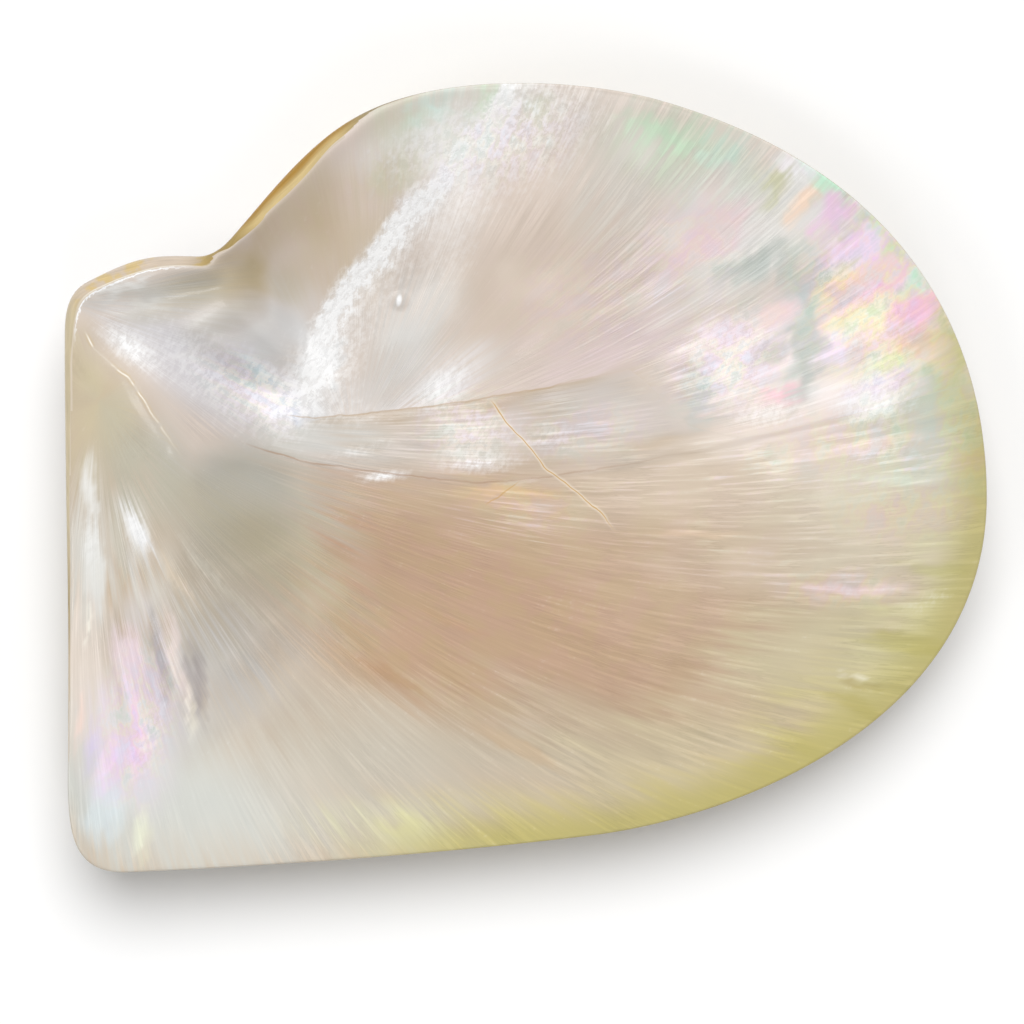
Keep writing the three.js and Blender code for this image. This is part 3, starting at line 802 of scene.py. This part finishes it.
class Finish:
    """A material and the nodes that make it."""

    def __init__(self, name):
        self.material = bpy.data.materials.new(name)
        self.material.use_nodes = True
        self.tree = self.material.node_tree
        self.tree.nodes.clear()

    def node(self, kind, settings=None, sockets=None, output=0):
        """One output of a new node of a kind, or nothing for output None. Its settings are set
        first, then its sockets are given values or links."""
        made = self.tree.nodes.new("ShaderNode" + kind)
        for name, value in (settings or {}).items():
            if name == "stops":
                while len(made.color_ramp.elements) < len(value):
                    made.color_ramp.elements.new(1)
                for stop, (place, colour) in zip(made.color_ramp.elements, value):
                    stop.position, stop.color = place, colour
            else:
                setattr(made, name, value)
        for name, value in (sockets or {}).items():
            socket = made.inputs[name]
            if isinstance(value, Signal):
                self.tree.links.new(value.socket, socket)
            else:
                socket.default_value = value
        return None if output is None else Signal(self, made.outputs[output])

    def attribute(self, name):
        """A number kept on the mesh."""
        return self.node("Attribute", {"attribute_name": name}, output="Fac")

    def vectors(self, name):
        """A vector or colour kept on the mesh."""
        return self.node("Attribute", {"attribute_name": name}, output="Vector")

    def line(self, colour, name, width, code, strength):
        """A colour with a thin line of another along the route that an attribute is measured
        from, as strong as a second attribute says."""
        mask = self.fade(abs(self.attribute(name)), width, 0.0) * strength
        mask = mask * self.attribute(name + "_strength")
        return self.mix(mask, colour, paint(code))

    def plan(self):
        """Place in the valve's plan, in millimetres, with no height."""
        place = self.node("TexCoord", output="Object")
        return self.vector("MULTIPLY", place, (1 / MM, 1 / MM, 0))

    def vector(self, operation, first, second, output=0):
        """What a Vector Math node works out from two vectors."""
        return self.node("VectorMath", {"operation": operation}, {0: first, 1: second}, output)

    def scaled(self, vector, factor):
        """A vector or colour times a number."""
        return self.node("VectorMath", {"operation": "SCALE"}, {0: vector, "Scale": factor})

    def noise(self, place, detail=2.0, roughness=0.5):
        """Cloudy noise about 0.5, with a wave for each whole step of its place."""
        return self.node("TexNoise", None, {
            "Vector": place, "Scale": 1.0, "Detail": detail, "Roughness": roughness})

    def fade(self, value, low, high, bottom=0.0, top=1.0):
        """bottom below low, top above high, eased between; low may be over high."""
        return self.node("MapRange", {"interpolation_type": "SMOOTHSTEP"}, {
            "Value": value, "From Min": low, "From Max": high, "To Min": bottom, "To Max": top})

    def mix(self, factor, first, second):
        """Two colours mixed by a factor."""
        return self.node("Mix", {"data_type": "RGBA"}, {0: factor, 6: first, 7: second}, output=2)

    def between(self, factor, first, second):
        """Two vectors mixed by a factor."""
        return self.node("Mix", {"data_type": "VECTOR"}, {0: factor, 4: first, 5: second}, output=1)

    def patch(self, plan, x, y, length, width, turn):
        """1 in the middle part of an oval of half sizes length and width, 0 at its edge."""
        local = self.node("Mapping", {"vector_type": "TEXTURE"}, {
            "Vector": plan, "Location": (x, y, 0), "Rotation": (0, 0, math.radians(turn)),
            "Scale": (length, width, 1)})
        far = self.vector("LENGTH", local, (0, 0, 0), output="Value")
        return self.fade(far, 1.0, 0.4)

    def bump(self, height, distance):
        """The surface's normal, tilted as if a height of 1 were a distance in metres."""
        return self.node("Bump", None, {"Distance": distance, "Height": height})

    def surface(self, **sockets):
        """The finished material: a Principled shader with these sockets."""
        shader = self.node("BsdfPrincipled", None, {
            name.replace("_", " "): value for name, value in sockets.items()})
        self.node("OutputMaterial", None, {"Surface": shader}, output=None)
        return self.material


# ------------------------------------------------------------------------------------------------
# Finishes.

class Nacre(Finish):
    """The hollow side's finish, with the patterns that its layers share: fine and broad streaks
    along the strands, drifts of hue, dents and the crackle over them, clouds, and the grain,
    which is how strongly the strands show."""

    def __init__(self):
        super().__init__("polished nacre")
        self.place = self.plan()
        self.border = self.attribute("fan_border")
        self.border_blur = self.attribute("border_blur")
        self.umbo_zone = self.attribute("umbo_zone")
        self.torn = self.attribute("torn")
        self.play = self.attribute("play")
        # Where painted highlights are laid into the colour.
        self.shine = self.attribute("shine")
        self.strands = self.strand_place()
        self.fine = self.streaks(150, 13, detail=3.0, roughness=0.55)
        self.broad = self.streaks(34, 20, detail=2.0, roughness=0.5)
        self.hue = self.streaks(18, 6, detail=3.0, roughness=0.6)
        self.dents = self.hammered_dents()
        self.crackle = self.fade(self.dents, 0.36, 0.64)
        self.cloud = self.noise(self.scaled(self.place, 0.09))
        self.grain = self.torn * self.fade(self.cloud, 0.35, 0.65, 0.45, 1.25) * self.apart()
        self.hues = self.play_hues()

    def strand_place(self):
        """Place among the strands of whichever fan a point is in."""
        in_front = self.fade(self.border, -0.12, 0.12)
        at_umbo = self.fade(self.umbo_zone, -0.3, 0.3)
        place = self.between(in_front, self.vectors("rear_strands"), self.vectors("front_strands"))
        return self.between(at_umbo, place, self.vectors("umbo_strands"))

    def streaks(self, per_radian, length, detail, roughness):
        """Noise drawn out along the strands: so many waves to a radian across them, and one to a
        length in millimetres along them."""
        place = self.vector("MULTIPLY", self.strands, (per_radian, 1 / length, 0))
        return self.noise(place, detail, roughness)

    def hammered_dents(self):
        """Noise with waves about a millimetre wide, drawn out one way."""
        place = self.node("Mapping", {"vector_type": "TEXTURE"}, {
            "Vector": self.place, "Rotation": (0, 0, math.radians(58)), "Scale": (1.6, 1.0, 1)})
        return self.noise(place, detail=3.0, roughness=0.65)

    def apart(self):
        """0 where two fans meet, so that their strands show no break there, and 1 further off."""
        from_border = self.fade(abs(self.border) / (0.5 + self.border_blur * 0.3), 0.2, 1.5)
        return from_border * self.fade(abs(self.umbo_zone), 0.2, 5.0)

    def play_hues(self):
        """The colours that the nacre plays in: mint, cream, peach, pink and lilac by turns."""
        return self.node("ValToRGB", {"stops": [
            (0.33, paint("b4e6c4")), (0.41, paint("ecf4ec")), (0.46, paint("fff0bc")),
            (0.5, paint("ffd6c4")), (0.55, paint("f9c4e8")), (0.64, paint("d8d2fc"))]},
            {"Fac": self.hue + (self.crackle - 0.5) * 0.06})

    def torn_tints(self):
        """The fans' colours: each point's come from a little way inwards or outwards along its
        strand, as the streaks lean. Streaks lighten and darken them, and fine hairs darken them."""
        lean = self.fade(self.broad * 0.7 + self.fine * 0.3, 0.32, 0.68) - 0.5
        lean = 0.5 + lean * self.torn
        rear = self.mix(lean, self.vectors("rear_inward"), self.vectors("rear_outward"))
        front = self.mix(lean, self.vectors("front_inward"), self.vectors("front_outward"))
        colour = self.mix(self.fade(self.border / self.border_blur, -1, 1), rear, front)
        hairs = self.fade(abs(self.fine - 0.5), 0.03, 0.0) * self.fade(self.cloud, 0.4, 0.6, 0.3)
        light = (self.fine - 0.5) * 0.5 + (self.broad - 0.5) * 0.16 - hairs * 0.09
        return self.scaled(colour, 1 + light * self.grain)

    def with_play(self, colour):
        """A colour warmed, turned towards the play of colours, and crossed by silky strands of
        painted sheen.
        """
        drift = self.mix(self.fade(self.hue, 0.4, 0.6), paint("cdb681"), paint("d3a898"))
        colour = self.mix(0.22 * self.attribute("warmth"), colour, drift)
        colour = self.mix(self.play * 0.4, colour, self.hues)
        # Painted sheen along the fine strands, pale towards white.
        silk = self.fade(self.fine, 0.5, 0.68, top=0.75) * self.attribute("silk")
        silk = silk * self.fade(self.cloud, 0.4, 0.6, 0.4)
        return self.mix(silk, colour, self.mix(0.55, self.hues, paint("ffffff")))

    def with_painted_glare(self, colour):
        """A colour under painted dapples of glare, with painted shade of wrinkles and pebbles where
        the painted shine is.
        """
        dapples = self.shine * 0.9 + (self.dents - 0.5) * (1.15 - self.torn * 0.5)
        dapples = dapples + (self.fine - 0.5) * self.torn * 0.8
        glare = self.fade(dapples, 0.08, 0.9) * 0.72 + self.fade(dapples, 0.6, 0.78) * 0.25
        # Painted glare: white, or the play's hues, laid into the colour.
        colour = self.mix(glare, colour, self.mix(self.play * 0.6, paint("ffffff"), self.hues))
        # Painted shade in the dents' wrinkles and pebbles, only where the painted glare crinkles.
        wrinkle_shade = self.fade(abs(self.dents - 0.46), 0.02, 0.0) * 0.11
        pebble_shade = self.fade(self.dents, 0.5, 0.4) * 0.05
        crinkled = self.fade(self.shine * 0.9 + self.play * 0.4, 0.15, 0.6)
        return self.scaled(colour, 1 - (wrinkle_shade + pebble_shade) * crinkled)

    def with_lines(self, colour):
        """A colour with the lines of scars, cracks and the crease over it, and a painted highlight
        along
        the hair crack: name, half width in millimetres, colour and strength of each."""
        broken = self.fade(self.noise(self.scaled(self.place, 0.25), detail=3.0), 0.42, 0.55)
        for name, width, code, strength in (
                ("front_scar", 0.22, "bda07c", 0.6 * self.fade(self.fine, 0.35, 0.5, 0.3)),
                ("rear_scar", 0.25, "b09078", 0.7 * self.fade(self.fine, 0.35, 0.5, 0.4)),
                # A painted highlight: a pale line along the hair crack.
                ("hair_crack", 0.5, "fbf0de", 0.6),
                ("hair_crack", 0.17, "c9a062", 0.95),
                ("short_crack", 0.18, "cda36a", 0.7),
                ("hinge_crease", 0.7, "d0b47c", 0.5 * broken),
                ("hinge_crease", 0.26, "fffaf0", 0.15 + broken * 0.85)):
            colour = self.line(colour, name, width, code, strength)
        return colour

    def with_glints(self, colour):
        """A colour with a white glint on the pearl bump and another along the ear's lip."""
        on_bump = self.patch(self.place, *PEARL_BUMP, 1.3, 0.6, 80)
        colour = self.mix(on_bump, colour, paint("ffffff"))
        on_ear = self.patch(self.place, -66, 30, 14, 9, 20)
        from_lip = abs(self.attribute("inset") - 0.1 - self.crackle * 0.4)
        return self.mix(self.fade(from_lip, 0.25, 0.08) * on_ear, colour, paint("ffffff"))


def nacre_finish():
    """The hollow side: tints torn along the strands, and the other layers over them in turn."""
    nacre = Nacre()
    colour = nacre.torn_tints()
    for layer in (nacre.with_play, nacre.with_painted_glare, nacre.with_lines, nacre.with_glints):
        colour = layer(colour)
    # The crackle's bumps are strongest where the painted shine is.
    height = nacre.fine * nacre.grain + nacre.crackle * nacre.shine * 0.5
    return nacre.surface(Base_Color=colour, Roughness=0.32, IOR=1.6, Coat_Weight=0.5,
                         Coat_Roughness=0.15, Normal=nacre.bump(height, 0.0001))


def edge_finish():
    """The ground edge: layered shell, gold brown, and by patches grey along the crown, cream on
    the hinge, tan on the rear margin, amber beside the notch and pinkish on the ear, with a painted
    white glint along its lip. Next to the nacre it takes the nacre's tone."""
    f = Finish("ground edge")
    plan = f.plan()
    inset = f.attribute("inset")
    place = f.node("TexCoord", output="Object")
    layers = f.noise(f.vector("MULTIPLY", place, (200, 200, 5000)), detail=3.0)
    mottle = f.noise(f.scaled(plan, 0.35), detail=4.0)
    colour = f.mix(mottle, paint("ab9560"), paint("8f7640"))
    for spot, code in (((10, 64, 60, 14, 0), "a39c8a"), ((-75, 10, 6, 40, 0), "d0c2a4"),
                       ((-75, -44, 5, 26, 0), "cbb99c"), ((-40, -64, 50, 5, 0), "b09a6c")):
        colour = f.mix(f.patch(plan, *spot), colour, paint(code))
    outer = f.fade(inset, -0.6, -2.0)
    amber = f.mix(outer, paint("d6bf8c"), paint("b08a48"))
    colour = f.mix(f.patch(plan, -38, 50, 19, 8, 50), colour, amber)
    on_ear = f.patch(plan, -64, 34, 17, 8, 15)
    ear = f.mix(f.fade(mottle, 0.45, 0.6), paint("d2c2b0"), paint("d6be8c"))
    colour = f.mix(on_ear, colour, ear)
    colour = f.scaled(colour, 1 + (layers - 0.5) * 0.5)
    # Painted glint: white along the ear's lip, where the rim turns over.
    lip_glint = f.fade(inset, -0.3, -0.1) * on_ear
    colour = f.mix(lip_glint, colour, paint("e9e2d4"))
    colour = f.mix(f.fade(f.attribute("covered"), -0.06, 0.04), colour, paint("d8cbb8"))
    return f.surface(Base_Color=colour, Roughness=0.35, IOR=1.6, Coat_Weight=0.4,
                     Coat_Roughness=0.12, Normal=f.bump(layers, 0.00008))


def outer_finish():
    """The polished outer side: growth bands of cream, gold and olive, crossed by faint rays from
    the umbo, pearly in the middle where it is ground thinnest, olive brown towards the margin."""
    f = Finish("polished outer side")
    plan = f.plan()
    growth = f.attribute("growth")
    rays = f.noise(f.vector("MULTIPLY", f.vectors("umbo_strands"), (26, 1 / 30, 0)), detail=3.0)
    cloud = f.noise(f.scaled(plan, 0.05), detail=3.0)
    grown = growth + (cloud - 0.5) * 6 + (rays - 0.5) * 0.8
    across_bands = f.node("CombineXYZ", None, {0: grown * 0.3})
    bands = f.noise(across_bands, detail=4.0, roughness=0.55)
    shell = f.node("ValToRGB", {"stops": [(0.34, paint("a98f5c")), (0.44, paint("c3aa78")),
                                          (0.5, paint("d9c9a2")), (0.56, paint("e4d9bf")),
                                          (0.64, paint("c9b78c"))]}, {"Fac": bands})
    pearly = f.mix(f.fade(rays, 0.4, 0.6), paint("e2dcd2"), paint("d6ccd0"))
    ground_thin = f.fade(grown, 46, 20) * f.fade(cloud, 0.3, 0.6, 0.3)
    colour = f.mix(ground_thin * 0.75, shell, pearly)
    margin = f.fade(grown, 58, 74)
    colour = f.mix(margin * 0.65, colour, f.mix(bands, paint("6f5f34"), paint("9c8a56")))
    rayed = f.fade(rays, 0.55, 0.68) * f.fade(growth, 20, 60)
    colour = f.mix(rayed * 0.14, colour, paint("8a7748"))
    fine = f.noise(f.scaled(plan, 2.2), detail=3.0)
    colour = f.scaled(colour, 0.97 + (fine - 0.5) * 0.14)
    return f.surface(Base_Color=colour, Roughness=0.3, IOR=1.6, Coat_Weight=0.6,
                     Coat_Roughness=0.1, Normal=f.bump(bands + fine * 0.3, 0.00025))


# ------------------------------------------------------------------------------------------------
# The studio.

SOFTBOX_SIDE = 0.25
SOFTBOX_POWER = 0.8
CAMERA_HEIGHT = 0.7
CAMERA_OFF = (-2.45, -5.47)  # millimetres from the middle of the valve's box
LENS = 146.3
FLOOR_REACH = 3.0  # from its middle to each side
GLOW_SPOT = (-14, -4, 36, 30, 0)  # an oval in millimetres, narrower than the valve
GLOW = (0.17, 0.17, 0.165, 1)


def place_camera():
    """Straight above the valve, with +Y at the top of its view."""
    low, high = cad_box
    middle = [(low[axis] + high[axis]) / 2 for axis in (0, 1)]
    camera = bpy.data.cameras.new("camera")
    camera.lens = LENS
    camera.sensor_width = 36
    camera.clip_end = 10
    stand = bpy.data.objects.new("camera", camera)
    stand.location = (middle[0] + CAMERA_OFF[0] * MM, middle[1] + CAMERA_OFF[1] * MM,
                      CAMERA_HEIGHT)
    bpy.context.scene.collection.objects.link(stand)
    bpy.context.scene.camera = stand


def hang(name, light, place):
    """A light put at a place and turned to face the valve: tilted by the angle that its way down
    makes with the vertical, about the direction that it comes from."""
    lamp = bpy.data.objects.new(name, light)
    lamp.location = place
    way = -np.array(place, float)
    flat = math.hypot(way[0], way[1])
    lamp.rotation_euler = (math.atan2(flat, -way[2]), 0, math.atan2(way[1], way[0]) - math.pi / 2)
    bpy.context.scene.collection.objects.link(lamp)
    return lamp


def softbox(name, place):
    """A small square area light that faces the valve."""
    light = bpy.data.lights.new(name, "AREA")
    light.size = SOFTBOX_SIDE
    light.energy = SOFTBOX_POWER
    hang(name, light, place)


def floor():
    """A wide pale floor that the valve rests on, clear when seen from below, with a soft glow
    that hides under the valve and lights its outer side."""
    corners = FLOOR_REACH * np.array([(-1, -1, 0), (1, -1, 0), (1, 1, 0), (-1, 1, 0)])
    ground = mesh_piece("floor", corners, np.array([[0, 1, 2, 3]]), np.zeros((0, 3), int))
    f = Finish("pale floor")
    glow = f.mix(f.patch(f.plan(), *GLOW_SPOT), (0, 0, 0, 1), GLOW)
    paper = f.node("BsdfPrincipled", None, {
        "Base Color": (0.89, 0.89, 0.89, 1), "Roughness": 0.8, "Emission Color": glow,
        "Emission Strength": 1.0})
    clear = f.node("BsdfTransparent")
    from_below = f.node("NewGeometry", output="Backfacing")
    shown = f.node("MixShader", None, {0: from_below, 1: paper, 2: clear})
    f.node("OutputMaterial", None, {"Surface": shown}, output=None)
    ground.data.materials.append(f.material)


def light_studio():
    """Even light from all round, a wide soft key from the crown's side that shows in no
    reflection, and small softboxes that put glints on the folds."""
    world = bpy.data.worlds.new("studio")
    world.use_nodes = True
    background = world.node_tree.nodes["Background"]
    background.inputs["Color"].default_value = (1, 1, 1, 1)
    background.inputs["Strength"].default_value = 0.38
    bpy.context.scene.world = world
    key = bpy.data.lights.new("key", "SUN")
    key.energy = 2.4
    key.angle = math.radians(42)
    hang("key", key, (0.05, 0.45, 1)).visible_glossy = False
    softbox("rear side box", (0.1, -0.55, 1.0))
    softbox("hinge side box", (-0.5, -0.25, 1.0))
    bpy.context.scene.view_settings.view_transform = "Standard"


place_camera()
light_studio()
floor()
valve, slots = make_valve()
for finish in (nacre_finish, edge_finish, outer_finish):
    valve.data.materials.append(finish())
valve.data.polygons.foreach_set("material_index", slots.astype(np.int32))
valve.data.update()
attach(valve, "root")
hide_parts(NODE)
